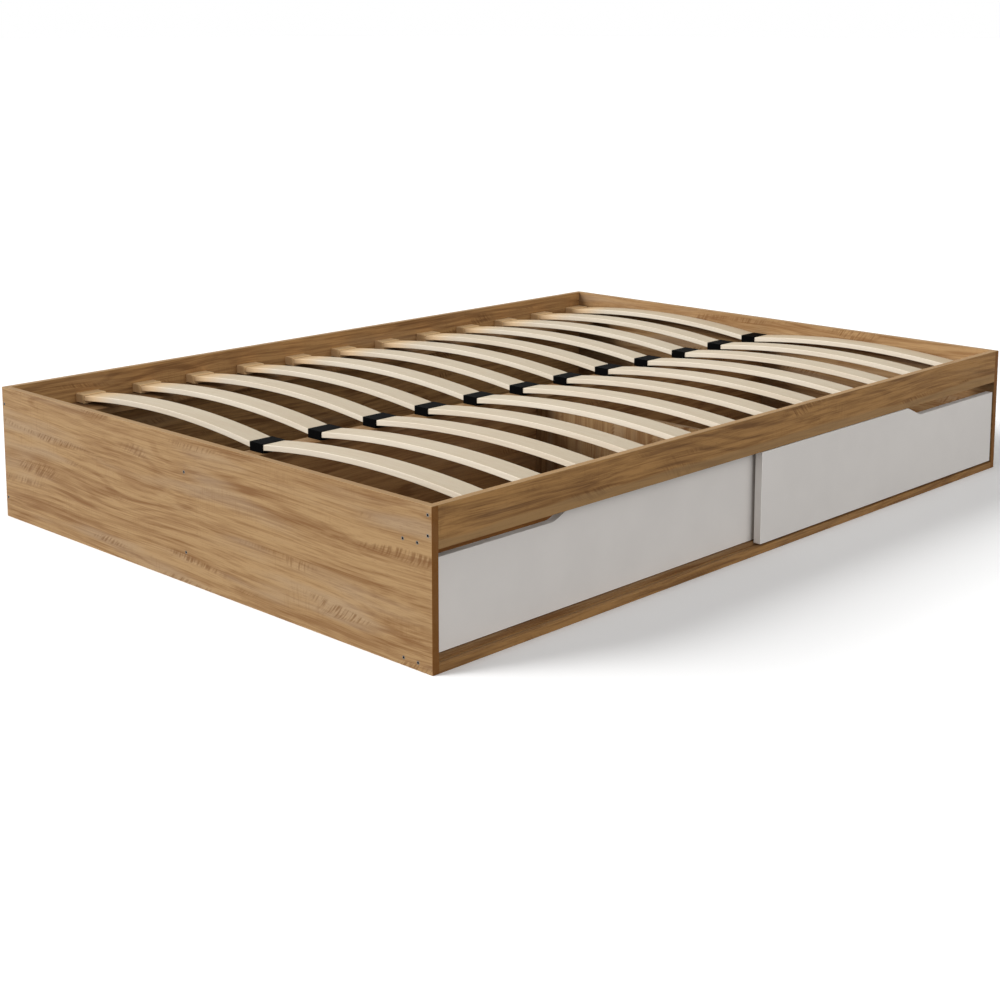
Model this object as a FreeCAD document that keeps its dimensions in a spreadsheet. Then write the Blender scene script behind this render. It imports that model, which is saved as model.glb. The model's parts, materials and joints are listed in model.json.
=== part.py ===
import FreeCAD, Part
import os
import re
import Sketcher

# Platform storage bed: a low box of oak-faced boards with a sprung slat base and two sliding
# doors that pass each other along its front. Millimetres.
# Sizes below are counted from the left end panel's outer face (X), from the end panels' front
# edges (Y) and from the floor (Z). Each piece is then moved so that the origin lies at the
# middle of the bed's footprint: +X runs to the right along the doors, the doors face -Y.

# Driving sizes: name, value, what it is
DRIVING_SIZES = [
    ("bed_length", "2032", "outer length over both end panels"),
    ("bed_width", "1452", "outer width, front edge to back panel's outer face"),
    ("bed_height", "311", "height of the end panels"),
    ("board", "16", "thickness of every oak-faced board"),
    ("underside_gap", "7", "height of the inner boards' undersides above the floor"),
    ("recess_depth", "65", "ledges' and beam's top below the end panels' top edges"),
    ("front_ledge_width", "80", "front slat ledge, front to back"),
    ("back_ledge_width", "103", "back slat ledge, front to back"),
    ("beam_width", "50", "centre beam, front to back"),
    ("plinth_depth", "22", "plinth strip, front to back"),
    ("plinth_height", "16", "plinth strip, bottom to top"),
    ("base_board_width", "80", "base board behind the plinth strip, front to back"),
    ("partition_offset", "39", "cross partition's left face to the right of mid length"),
    ("partition_front", "60", "cross partition's front edge"),
    ("floor_sheet", "3", "thickness of the hardboard storage floor"),
    ("door_thickness", "18", "sliding door board"),
    ("door_overlap", "44", "how far the closed doors overlap at the middle"),
    ("door_end_gap", "2", "closed door to the end panel beside it"),
    ("door_setback", "3", "outer door's face behind the end panels' front edges"),
    ("door_spacing", "9", "air between the two doors"),
    ("door_top_gap", "2.5", "top of both doors below the rail and ledge"),
    ("outer_door_lift", "4.5", "outer door's bottom edge above the plinth strip"),
    ("inner_door_lift", "1", "inner door's bottom edge above the base board"),
    ("inner_grip_length", "334", "straight part of the inner door's finger cut-out"),
    ("outer_grip_length", "360", "straight part of the outer door's finger cut-out"),
    ("grip_depth", "24.5", "depth of the finger cut-outs in the doors' top edges"),
    ("grip_slope_run", "56", "length of the slope at a cut-out's inner end"),
    ("grip_foot_radius", "50", "rounding at the foot of the slope"),
    ("grip_shoulder_radius", "30", "rounding at the top of the slope"),
    ("track_width", "5", "door track, across"),
    ("track_height", "4", "door track, depth of its groove"),
    ("track_wall", "1", "wall of the door track"),
    ("running_clearance", "0.3", "door guide to its track, each side"),
    ("glide_length", "40", "door guide, along the door"),
    ("glide_width", "8", "door guide's plug, across the door"),
    ("glide_depth", "12", "door guide's plug, into the door's edge"),
    ("glide_inset", "60", "door guide to the door's upright edge"),
    ("guide_offset", "30", "top guide to the end of the finger cut-out's slope"),
    ("slat_width", "58", "sprung slat, across"),
    ("slat_thickness", "13", "sprung slat"),
    ("slat_rise", "24.5", "rise of a slat's middle over its ends"),
    ("first_slat_inset", "201.5", "first slat's centre line to the left end panel"),
    ("last_slat_inset", "33", "last slat's centre line to the right end panel"),
    ("slat_seat", "3.5", "slat's end above the ledge it is held on"),
    ("slat_end_play", "0.5", "slat's end to the wall of its pocket"),
    ("slat_clearance", "0.3", "slat's faces to the walls of its pocket"),
    ("holder_width", "62", "holders and end caps, along the bed"),
    ("holder_length", "44", "double holder on the beam, front to back"),
    ("holder_height", "20.5", "double holder"),
    ("holder_web", "7", "wall between a double holder's two pockets"),
    ("cap_length", "34", "end cap, front to back"),
    ("cap_height", "21", "end cap above its feet"),
    ("cap_foot", "2", "height of an end cap's feet"),
    ("foot_radius", "5", "end cap's feet"),
    ("cap_end_wall", "2.5", "closed end of an end cap"),
    ("front_cap_gap", "22", "front end caps behind the front rail"),
    ("peg_radius", "3", "pegs under holders and caps"),
    ("peg_length", "10", "pegs under holders and caps"),
    ("peg_offset", "18", "peg to the middle of its holder"),
    ("peg_stagger", "8", "pegs to the middle of their holder, front to back"),
    ("peg_clearance", "0.05", "peg, screw or dowel to its hole, all round"),
    ("hole_end_gap", "1", "bottom of a blind hole beyond the end of what it holds"),
    ("screw_length", "50", "confirmat screw"),
    ("screw_head_radius", "3.6", "countersunk head"),
    ("screw_shank_radius", "2.75", "plain shank under the head"),
    ("screw_core_radius", "1.8", "threaded end, drawn at its mean radius"),
    ("socket_radius", "2.4", "hexagon socket, centre to corner"),
    ("socket_depth", "3", "hexagon socket"),
    ("rail_screw_place", "10.5", "front rail's screws behind its face"),
    ("rail_screw_low", "26", "front rail's lower screw above its underside"),
    ("rail_screw_high", "17", "front rail's upper screw below its top edge"),
    ("near_screw", "38", "front screw of the front ledge and of the base board"),
    ("far_screw", "76", "back screw of the front ledge and of the base board"),
    ("centre_board_screw", "67", "height of the screw in the centre board"),
    ("back_screw_inset", "40", "back panel's screws from its top and bottom edges"),
    ("ledge_screw_inset", "120", "first back ledge screw from the end panel"),
    ("partition_screw_inset", "50", "partition's screws from its top and bottom edges"),
    ("dowel_radius", "3", "dowels at the plinth strip's ends"),
    ("dowel_length", "24", "dowels at the plinth strip's ends"),
    ("dowel_in_panel", "10", "how far each dowel goes into the end panel"),
]

# Sizes that follow from the driving ones: name, formula, what it is
DERIVED_SIZES = [
    ("right_inside", "bed_length - board", "right end panel's inner face"),
    ("inner_length", "bed_length - 2 * board", "between the end panels"),
    ("ledge_top", "bed_height - recess_depth", "where holders and caps stand"),
    ("ledge_underside", "ledge_top - board", "underside of the ledges and the beam"),
    ("rail_back", "board", "front rail's back face"),
    ("back_inside", "bed_width - board", "back panel's inner face"),
    ("front_cap_place", "rail_back + front_cap_gap", "front caps' closed ends"),
    ("beam_axis", "(front_cap_place + back_inside) / 2", "centre line of beam and board"),
    ("beam_front", "beam_axis - beam_width / 2", "centre beam's front edge"),
    ("centre_board_front", "beam_axis - board / 2", "centre board's front face"),
    ("centre_board_back", "beam_axis + board / 2", "centre board's back face"),
    ("inner_height", "ledge_underside - underside_gap", "boards that carry the slat base"),
    ("base_front", "plinth_depth", "base board's front edge"),
    ("base_top", "underside_gap + board", "base board's top face"),
    ("partition_back_foot", "base_front + base_board_width", "partition behind the base board"),
    ("partition_place", "bed_length / 2 + partition_offset", "cross partition's left face"),
    ("sheet_split", "partition_place + board / 2", "joint between the two floor sheets"),
    ("door_length", "(inner_length + door_overlap) / 2 - door_end_gap", "each door"),
    ("door_top", "ledge_underside - door_top_gap", "top edge of both doors"),
    ("outer_door_bottom", "plinth_height + outer_door_lift", "outer door's bottom edge"),
    ("inner_door_bottom", "base_top + inner_door_lift", "inner door's bottom edge"),
    ("outer_door_front", "door_setback", "outer door's face"),
    ("inner_door_front", "door_setback + door_thickness + door_spacing", "inner door's face"),
    ("outer_track_axis", "outer_door_front + door_thickness / 2", "tracks of the outer door"),
    ("inner_track_axis", "inner_door_front + door_thickness / 2", "tracks of the inner door"),
    ("left_door_place", "board + door_end_gap", "left door's outer edge, closed"),
    ("right_door_place", "right_inside - door_end_gap - door_length", "right door's near edge"),
    ("tongue_width", "track_width - 2 * track_wall - 2 * running_clearance", "guide's tongue"),
    ("tongue_depth", "track_height - track_wall - running_clearance", "tongue in its track"),
    ("back_slat_front", "beam_axis + holder_web / 2 + slat_end_play", "back slats' front ends"),
    ("back_slat_back", "back_inside - cap_end_wall - slat_end_play", "back slats' back ends"),
    ("slat_length", "back_slat_back - back_slat_front", "straight across a slat's ends"),
    ("slat_radius", "slat_length * slat_length / (8 * slat_rise) + slat_rise / 2", "underside"),
    ("front_slat_back", "beam_axis - holder_web / 2 - slat_end_play", "front slats' back ends"),
    ("front_slat_front", "front_slat_back - slat_length", "front slats' front ends"),
    ("slat_end_height", "ledge_top + slat_seat", "underside of a slat's end"),
    ("shank_hole_radius", "screw_shank_radius + peg_clearance", "hole in the outer board"),
    ("core_hole_radius", "screw_core_radius + peg_clearance", "hole in the inner board"),
    ("core_hole_depth", "screw_length - board + hole_end_gap", "hole in the inner board"),
    ("peg_hole_radius", "peg_radius + peg_clearance", "peg hole"),
    ("peg_hole_depth", "peg_length + hole_end_gap", "peg hole"),
    ("dowel_hole_radius", "dowel_radius + peg_clearance", "dowel hole"),
    ("dowel_in_strip", "dowel_length - dowel_in_panel", "dowel in the plinth strip"),
]

# Counts
SLATS_PER_ROW = 12
LEDGE_SCREWS = 5
SOCKET_SIDES = 6

# Centres (Y, Z) of the confirmat screws in each end panel, by the board that they hold
END_SCREWS = {
    "front_rail": [
        ("rail_screw_place", "ledge_underside + rail_screw_low"),
        ("rail_screw_place", "bed_height - rail_screw_high"),
    ],
    "front_ledge": [
        ("near_screw", "ledge_underside + board / 2"),
        ("far_screw", "ledge_underside + board / 2"),
    ],
    "base_board": [
        ("near_screw", "underside_gap + board / 2"),
        ("far_screw", "underside_gap + board / 2"),
    ],
    "centre_beam": [("beam_axis", "ledge_underside + board / 2")],
    "centre_board": [("beam_axis", "centre_board_screw")],
    "back_panel": [
        ("back_inside + board / 2", "underside_gap + back_screw_inset"),
        ("back_inside + board / 2", "bed_height - back_screw_inset"),
    ],
}
ALL_END_SCREWS = [centre for centres in END_SCREWS.values() for centre in centres]
PLINTH_DOWEL = ("plinth_depth / 2", "plinth_height / 2")

# Where a guide's plug and tongue start across the door's thickness
PLUG_ACROSS = "(door_thickness - glide_width) / 2"
TONGUE_ACROSS = "(door_thickness - tongue_width) / 2"

UP = FreeCAD.Vector(0, 0, 1)
HALF_TURN = 180

doc = FreeCAD.newDocument("storage_bed")
sheet = doc.addObject("Spreadsheet::Sheet", "Sizes")
NAMES = [name for name, _, _ in DRIVING_SIZES + DERIVED_SIZES]
nodes = []


def fill_sheet():
    """Write every size with its name and meaning into the sheet."""
    rows = [(name, text, note) for name, text, note in DRIVING_SIZES]
    rows += [(name, "=" + text, note) for name, text, note in DERIVED_SIZES]
    for row, (name, text, note) in enumerate(rows, start=1):
        sheet.set(f"A{row}", name)
        sheet.set(f"B{row}", text)
        sheet.set(f"C{row}", note)
        sheet.setAlias(f"B{row}", name)
    doc.recompute()


def on_sheet(formula):
    """The formula with each size written as a reference to the sheet."""
    return re.sub(r"[a-z_]+", lambda word: "Sizes." + word.group(0)
                  if word.group(0) in NAMES else word.group(0), str(formula))


def size(formula):
    """Present value of a formula over the sheet."""
    value = sheet.evalExpression(on_sheet(formula))
    return float(getattr(value, "Value", value))


def bind(thing, name, formula):
    """Drive one property of a document object by a formula over the sheet."""
    thing.setExpression(name, on_sheet(formula))


def place(thing, x, y, z):
    """Put an object at a point given in the bed's own counting, origin mid footprint."""
    bind(thing, ".Placement.Base.x", f"{x} - bed_length / 2")
    bind(thing, ".Placement.Base.y", f"{y} - bed_width / 2")
    bind(thing, ".Placement.Base.z", z)


def keep(thing, label):
    """Name an object as one node of the bed."""
    thing.Label = label
    nodes.append(thing)
    return thing


def new_body(label, x, y, z):
    """An empty body at a point, kept as a node."""
    body = doc.addObject("PartDesign::Body", label)
    place(body, x, y, z)
    return keep(body, label)


def new_sketch(body, plane, offset="0"):
    """A sketch on one of the body's origin planes, moved along that plane's normal."""
    sketch = body.newObject("Sketcher::SketchObject", "Sketch")
    support = [item for item in body.Origin.OriginFeatures if item.Role == plane][0]
    sketch.AttachmentSupport = [(support, "")]
    sketch.MapMode = "FlatFace"
    bind(sketch, ".AttachmentOffset.Base.z", offset)
    return sketch


def dimension(sketch, kind, geometry, point, formula):
    """Hold a point at a distance from the sketch's origin along one of its axes."""
    value = size(formula)
    if value == 0:
        axis = -2 if kind == "DistanceX" else -1
        sketch.addConstraint(Sketcher.Constraint("PointOnObject", geometry, point, axis))
        return
    ends = (-1, 1, geometry, point)
    if value < 0:
        ends = (geometry, point, -1, 1)
        formula = f"-({formula})"
    index = sketch.addConstraint(Sketcher.Constraint(kind, *ends, abs(value)))
    bind(sketch, f"Constraints[{index}]", formula)


def draw_outline(sketch, corners):
    """Closed outline of straight lines through corners, each a pair of formulas."""
    first = sketch.GeometryCount
    points = [FreeCAD.Vector(size(u), size(v), 0) for u, v in corners]
    for index, point in enumerate(points):
        following = points[(index + 1) % len(points)]
        sketch.addGeometry(Part.LineSegment(point, following), False)
    for index, (u, v) in enumerate(corners):
        line = first + index
        before = first + (index - 1) % len(corners)
        sketch.addConstraint(Sketcher.Constraint("Coincident", before, 2, line, 1))
        dimension(sketch, "DistanceX", line, 1, u)
        dimension(sketch, "DistanceY", line, 1, v)


def draw_rectangle(sketch, left, bottom, width, height):
    """Rectangle from its lower left corner."""
    right = f"({left}) + ({width})"
    top = f"({bottom}) + ({height})"
    draw_outline(sketch, [(left, bottom), (right, bottom), (right, top), (left, top)])


def draw_circles(sketch, centres, radius):
    """Circles of one radius about centres, each a pair of formulas."""
    for u, v in centres:
        centre = FreeCAD.Vector(size(u), size(v), 0)
        circle = sketch.addGeometry(Part.Circle(centre, UP, size(radius)), False)
        dimension(sketch, "DistanceX", circle, 3, u)
        dimension(sketch, "DistanceY", circle, 3, v)
        index = sketch.addConstraint(Sketcher.Constraint("Radius", circle, size(radius)))
        bind(sketch, f"Constraints[{index}]", radius)


def draw_bent_strip(sketch, front, back, middle, centre_height, inner, outer):
    """Strip between two arcs about one centre below it, cut plumb at front and back."""
    centre = FreeCAD.Vector(size(middle), size(centre_height), 0)
    corners = []
    for radius in (inner, outer):
        circle = Part.Circle(centre, UP, size(radius))
        ends = []
        for side in (back, front):
            reach = size(side) - centre.x
            climb = (size(radius) ** 2 - reach ** 2) ** 0.5
            ends.append(centre + FreeCAD.Vector(reach, climb, 0))
        start, finish = [circle.parameter(end) for end in ends]
        sketch.addGeometry(Part.ArcOfCircle(circle, start, finish), False)
        corners.append(ends)
    for low, high in zip(corners[0], corners[1]):
        sketch.addGeometry(Part.LineSegment(low, high), False)
    for line, point in ((2, 1), (3, 2)):
        sketch.addConstraint(Sketcher.Constraint("Coincident", line, 1, 0, point))
        sketch.addConstraint(Sketcher.Constraint("Coincident", line, 2, 1, point))
        sketch.addConstraint(Sketcher.Constraint("Vertical", line))
    sketch.addConstraint(Sketcher.Constraint("Coincident", 1, 3, 0, 3))
    dimension(sketch, "DistanceX", 0, 3, middle)
    dimension(sketch, "DistanceY", 0, 3, centre_height)
    dimension(sketch, "DistanceX", 2, 1, back)
    dimension(sketch, "DistanceX", 3, 1, front)
    for arc, radius in enumerate((inner, outer)):
        index = sketch.addConstraint(Sketcher.Constraint("Radius", arc, size(radius)))
        bind(sketch, f"Constraints[{index}]", radius)


def pad(body, sketch, length, reverse=False, midplane=False):
    """Raise a sketch into a solid."""
    feature = body.newObject("PartDesign::Pad", "Pad")
    feature.Profile = sketch
    feature.Reversed = reverse
    feature.Midplane = midplane
    bind(feature, "Length", length)
    return feature


def pocket(body, sketch, depth, along_normal=False, midplane=False):
    """Cut a sketch into the body, and make sure that it took something away."""
    before = body.Tip
    doc.recompute()
    volume = before.Shape.Volume
    feature = body.newObject("PartDesign::Pocket", "Pocket")
    feature.Profile = sketch
    feature.Reversed = along_normal
    feature.Midplane = midplane
    bind(feature, "Length", depth)
    doc.recompute()
    if not feature.Shape.Volume < volume:
        raise RuntimeError(f"{body.Label}: a pocket cuts nothing")
    return feature


def rectangular_board(label, x, y, z, length, depth, height):
    """A board from its near lower left corner: length along X, depth along Y, height along Z."""
    body = new_body(label, x, y, z)
    sketch = new_sketch(body, "XY_Plane")
    draw_rectangle(sketch, "0", "0", length, depth)
    pad(body, sketch, height)
    return body


def drill_ends(body, y, z, length, centres, radius, depth):
    """Blind holes into both ends of a board that runs along X."""
    local = [(f"({cy}) - ({y})", f"({cz}) - ({z})") for cy, cz in centres]
    near = new_sketch(body, "YZ_Plane")
    draw_circles(near, local, radius)
    pocket(body, near, depth, along_normal=True)
    far = new_sketch(body, "YZ_Plane", length)
    draw_circles(far, local, radius)
    pocket(body, far, depth)


def screwed_board(label, y, z, depth, height):
    """A board between the end panels, with pilot holes for the screws that hold it."""
    body = rectangular_board(label, "board", y, z, "inner_length", depth, height)
    drill_ends(body, y, z, "inner_length", END_SCREWS[label], "core_hole_radius",
               "core_hole_depth")
    return body


def mill_groove(body, axis, from_height, upwards):
    """Groove for a door track along the whole board, cut up or down from a height."""
    sketch = new_sketch(body, "XY_Plane", from_height)
    draw_rectangle(sketch, "0", f"{axis} - track_width / 2", "inner_length", "track_width")
    pocket(body, sketch, "track_height", along_normal=upwards)


def slat_centre(index):
    """Centre line of a slat, counted from the left end, all of them evenly spread."""
    pitch = f"(inner_length - first_slat_inset - last_slat_inset) / {SLATS_PER_ROW - 1}"
    return f"board + first_slat_inset + {index} * {pitch}"


def drill_pegs(body, middle):
    """Two staggered peg holes for each holder or cap, down from a ledge's top face."""
    sketch = new_sketch(body, "XY_Plane", "board")
    centres = []
    for index in range(SLATS_PER_ROW):
        x = f"{slat_centre(index)} - board"
        centres.append((f"{x} - peg_offset", f"{middle} - peg_stagger"))
        centres.append((f"{x} + peg_offset", f"{middle} + peg_stagger"))
    draw_circles(sketch, centres, "peg_hole_radius")
    pocket(body, sketch, "peg_hole_depth")


def end_panel(label, x, outer_face, cut_to_right):
    """End panel with countersunk screw holes and a blind hole for the plinth dowel."""
    body = new_body(label, x, "0", "0")
    outline = new_sketch(body, "YZ_Plane")
    draw_rectangle(outline, "0", "0", "bed_width", "bed_height")
    pad(body, outline, "board")
    holes = new_sketch(body, "YZ_Plane", outer_face)
    draw_circles(holes, ALL_END_SCREWS, "shank_hole_radius")
    pocket(body, holes, "board", along_normal=cut_to_right)
    dowel = new_sketch(body, "YZ_Plane", "board" if cut_to_right else "0")
    draw_circles(dowel, [PLINTH_DOWEL], "dowel_hole_radius")
    pocket(body, dowel, "dowel_in_panel + hole_end_gap", along_normal=not cut_to_right)
    sink_holes(body, FreeCAD.Vector(1, 0, 0), size(outer_face))
    return body


def sink_holes(body, normal, level):
    """Countersink every round hole that opens in the face at a level along a normal."""
    near = size("peg_clearance")
    rims = [f"Edge{number}" for number, edge in enumerate(body.Tip.Shape.Edges, start=1)
            if isinstance(edge.Curve, Part.Circle)
            and abs(edge.Curve.Center.dot(normal) - level) < near]
    base = body.Tip
    sinks = body.newObject("PartDesign::Chamfer", "Countersinks")
    sinks.Base = (base, rims)
    bind(sinks, "Size", "screw_head_radius - screw_shank_radius")
    doc.recompute()
    if not sinks.Shape.Volume < base.Shape.Volume:
        raise RuntimeError(f"{body.Label}: the countersinks cut nothing")


def track(label, axis, underside, opens_down):
    """U-shaped door track that fills its groove."""
    body = new_body(label, "board", f"{axis} - track_width / 2", underside)
    outline = [
        ("0", "0"),
        ("track_width", "0"),
        ("track_width", "track_height"),
        ("track_width - track_wall", "track_height"),
        ("track_width - track_wall", "track_wall"),
        ("track_wall", "track_wall"),
        ("track_wall", "track_height"),
        ("0", "track_height"),
    ]
    if opens_down:
        outline = [(u, f"track_height - ({v})") for u, v in reversed(outline)]
    sketch = new_sketch(body, "YZ_Plane")
    draw_outline(sketch, outline)
    pad(body, sketch, "inner_length")


def guide_places(grip, grip_at_left):
    """Left ends of a door's bottom guides and of its top guides, from the door's left edge."""
    near = "glide_inset"
    far = "door_length - glide_inset - glide_length"
    past_grip = f"{grip} + grip_slope_run + guide_offset"
    if grip_at_left:
        return [near, far], [past_grip, far]
    return [near, far], [near, f"door_length - ({past_grip}) - glide_length"]


def door(label, x, y, z, grip, grip_at_left):
    """Sliding door with a finger cut-out at its outer end and slots for its guides."""
    body = new_body(label, x, y, z)
    height = f"(door_top - ({z}))"
    slope = f"({grip} + grip_slope_run)"
    outline = [
        ("0", "0"),
        ("door_length", "0"),
        ("door_length", f"{height} - grip_depth"),
        (f"door_length - {grip}", f"{height} - grip_depth"),
        (f"door_length - {slope}", height),
        ("0", height),
    ]
    if grip_at_left:
        outline = [(f"door_length - ({u})", v) for u, v in reversed(outline)]
    sketch = new_sketch(body, "XZ_Plane")
    draw_outline(sketch, outline)
    pad(body, sketch, "door_thickness", reverse=True)
    foot = (grip, f"{height} - grip_depth")
    shoulder = (slope, height)
    for corner, radius in ((foot, "grip_foot_radius"), (shoulder, "grip_shoulder_radius")):
        reach = corner[0] if grip_at_left else f"door_length - {corner[0]}"
        round_corner(body, size(reach), size(corner[1]), radius)
    bottom, top = guide_places(grip, grip_at_left)
    for places, level, upwards in ((bottom, "0", True), (top, height, False)):
        slots = new_sketch(body, "XY_Plane", level)
        for left in places:
            draw_rectangle(slots, left, PLUG_ACROSS, "glide_length", "glide_width")
        pocket(body, slots, "glide_depth", along_normal=upwards)


def round_corner(body, x, z, radius):
    """Round the edge of a door that runs through it at x, z."""
    doc.recompute()
    near = size("peg_clearance")
    names = []
    for number, edge in enumerate(body.Tip.Shape.Edges, start=1):
        middle = edge.CenterOfMass
        crosses = edge.BoundBox.YLength > near
        if crosses and abs(middle.x - x) < near and abs(middle.z - z) < near:
            names.append(f"Edge{number}")
    base = body.Tip
    fillet = body.newObject("PartDesign::Fillet", "Rounding")
    fillet.Base = (base, names)
    bind(fillet, "Radius", radius)


def door_guides(label, x, y, edge, places, gap, at_top):
    """Two plastic guides plugged into a door's edge, each with a tongue in its track."""
    body = new_body(label, x, y, edge)
    body.AllowCompound = True
    plugs = new_sketch(body, "XY_Plane")
    tongues = new_sketch(body, "XY_Plane")
    for left in places:
        draw_rectangle(plugs, left, PLUG_ACROSS, "glide_length", "glide_width")
        draw_rectangle(tongues, left, TONGUE_ACROSS, "glide_length", "tongue_width")
    pad(body, plugs, "glide_depth", reverse=at_top)
    pad(body, tongues, f"{gap} + tongue_depth", reverse=not at_top)


def sliding_door(side, x, y, bottom, lift, grip, grip_at_left):
    """One door with its guides."""
    label = f"door_{side}"
    door(label, x, y, bottom, grip, grip_at_left)
    low, high = guide_places(grip, grip_at_left)
    door_guides(f"{label}_bottom_guides", x, y, bottom, low, lift, at_top=False)
    door_guides(f"{label}_top_guides", x, y, "door_top", high, "door_top_gap", at_top=True)


def slat(label, x, front):
    """Sprung slat: a strip bent to an arc."""
    body = new_body(label, x, f"{front} + slat_length / 2", "slat_end_height")
    sketch = new_sketch(body, "YZ_Plane")
    draw_bent_strip(sketch, "-slat_length / 2", "slat_length / 2", "0",
                    "slat_rise - slat_radius", "slat_radius", "slat_radius + slat_thickness")
    pad(body, sketch, "slat_width", midplane=True)


def slat_pocket(body, front, back, middle):
    """Pocket in a holder or cap, the shape of the slat with its clearance."""
    sketch = new_sketch(body, "YZ_Plane")
    draw_bent_strip(sketch, front, back, middle, "slat_seat + slat_rise - slat_radius",
                    "slat_radius - slat_clearance",
                    "slat_radius + slat_thickness + slat_clearance")
    pocket(body, sketch, "slat_width + 2 * slat_clearance", midplane=True)


def add_studs(body, middle, top, radius, length):
    """Two round studs down from a holder or cap, staggered across its middle."""
    sketch = new_sketch(body, "XY_Plane", top)
    draw_circles(sketch, [("-peg_offset", f"{middle} - peg_stagger"),
                          ("peg_offset", f"{middle} + peg_stagger")], radius)
    pad(body, sketch, length, reverse=True)


def holder_block(name, front, underside, length, height):
    """Solid block of a holder or cap, its front and underside counted from the origin."""
    body = doc.addObject("PartDesign::Body", name)
    sketch = new_sketch(body, "XY_Plane", underside)
    draw_rectangle(sketch, "-holder_width / 2", front, "holder_width", length)
    pad(body, sketch, height)
    return body


def double_holder():
    """Holder on the beam with a pocket for a front slat and one for a back slat."""
    body = holder_block("double_holder", "-holder_length / 2", "0", "holder_length",
                        "holder_height")
    add_studs(body, "0", "0", "peg_radius", "peg_length")
    near = "holder_web / 2"
    far = "(holder_web / 2 + slat_end_play + slat_length)"
    middle = "(holder_web / 2 + slat_end_play + slat_length / 2)"
    slat_pocket(body, near, far, middle)
    slat_pocket(body, f"-{far}", f"-{near}", f"-{middle}")
    return body


def end_cap():
    """Cap for a slat's outer end, closed at the origin and open towards +Y, on two feet."""
    body = holder_block("end_cap", "0", "cap_foot", "cap_length", "cap_height")
    add_studs(body, "cap_length / 2", "cap_foot", "foot_radius", "cap_foot")
    add_studs(body, "cap_length / 2", "0", "peg_radius", "peg_length")
    far = "cap_end_wall + slat_end_play + slat_length"
    slat_pocket(body, "cap_end_wall", far, "cap_end_wall + slat_end_play + slat_length / 2")
    return body


def confirmat_screw():
    """Countersunk furniture screw along +Z, its head's face at the origin."""
    head = doc.addObject("Part::Cone", "head")
    bind(head, "Radius1", "screw_head_radius - peg_clearance")
    bind(head, "Radius2", "screw_shank_radius")
    bind(head, "Height", "screw_head_radius - peg_clearance - screw_shank_radius")
    shank = doc.addObject("Part::Cylinder", "shank")
    bind(shank, "Radius", "screw_shank_radius")
    bind(shank, "Height", "board")
    core = doc.addObject("Part::Cylinder", "core")
    bind(core, "Radius", "screw_core_radius")
    bind(core, "Height", "screw_length")
    whole = doc.addObject("Part::MultiFuse", "whole")
    whole.Shapes = [head, shank, core]
    socket = doc.addObject("Part::Prism", "socket")
    socket.Polygon = SOCKET_SIDES
    bind(socket, "Circumradius", "socket_radius")
    bind(socket, "Height", "socket_depth")
    screw = doc.addObject("Part::Cut", "confirmat_screw")
    screw.Base = whole
    screw.Tool = socket
    return screw


def wood_dowel():
    """Plain dowel along +Z."""
    dowel = doc.addObject("Part::Cylinder", "wood_dowel")
    bind(dowel, "Radius", "dowel_radius")
    bind(dowel, "Height", "dowel_length")
    return dowel


def group(label, pattern, places, rotation):
    """Like pieces as one node: copies of a pattern at places, all turned the same way."""
    copies = []
    for x, y, z in places:
        copy = doc.addObject("App::Link", "Copy")
        copy.LinkedObject = pattern
        copy.Placement.Rotation = rotation
        place(copy, x, y, z)
        copies.append(copy)
    compound = doc.addObject("Part::Compound", label)
    compound.Links = copies
    keep(compound, label)


def outer_case():
    """The boards that the photograph shows from outside."""
    end_panel("end_panel_left", "0", "0", cut_to_right=True)
    end_panel("end_panel_right", "right_inside", "board", cut_to_right=False)
    back = screwed_board("back_panel", "back_inside", "underside_gap", "board",
                         "bed_height - underside_gap")
    holes = new_sketch(back, "XZ_Plane", "-board")
    centres = [(f"{x} - board", "ledge_underside + board / 2 - underside_gap")
               for x in ledge_screw_places()]
    draw_circles(holes, centres, "shank_hole_radius")
    pocket(back, holes, "board", along_normal=True)
    sink_holes(back, FreeCAD.Vector(0, 1, 0), size("board"))
    rail = screwed_board("front_rail", "0", "ledge_underside", "board",
                         "bed_height - ledge_underside")
    mill_groove(rail, "outer_track_axis", "0", upwards=True)
    strip = rectangular_board("plinth_strip", "board", "0", "0", "inner_length",
                              "plinth_depth", "plinth_height")
    drill_ends(strip, "0", "0", "inner_length", [PLINTH_DOWEL], "dowel_hole_radius",
               "dowel_in_strip + hole_end_gap")
    mill_groove(strip, "outer_track_axis", "plinth_height", upwards=False)


def ledge_screw_places():
    """Where the back ledge's screws stand along the bed."""
    step = f"(inner_length - 2 * ledge_screw_inset) / {LEDGE_SCREWS - 1}"
    return [f"board + ledge_screw_inset + {index} * {step}" for index in range(LEDGE_SCREWS)]


def partition_screw_heights():
    """Where the screws stand that hold the partition to the centre board."""
    return ["underside_gap + partition_screw_inset", "ledge_underside - partition_screw_inset"]


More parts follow.
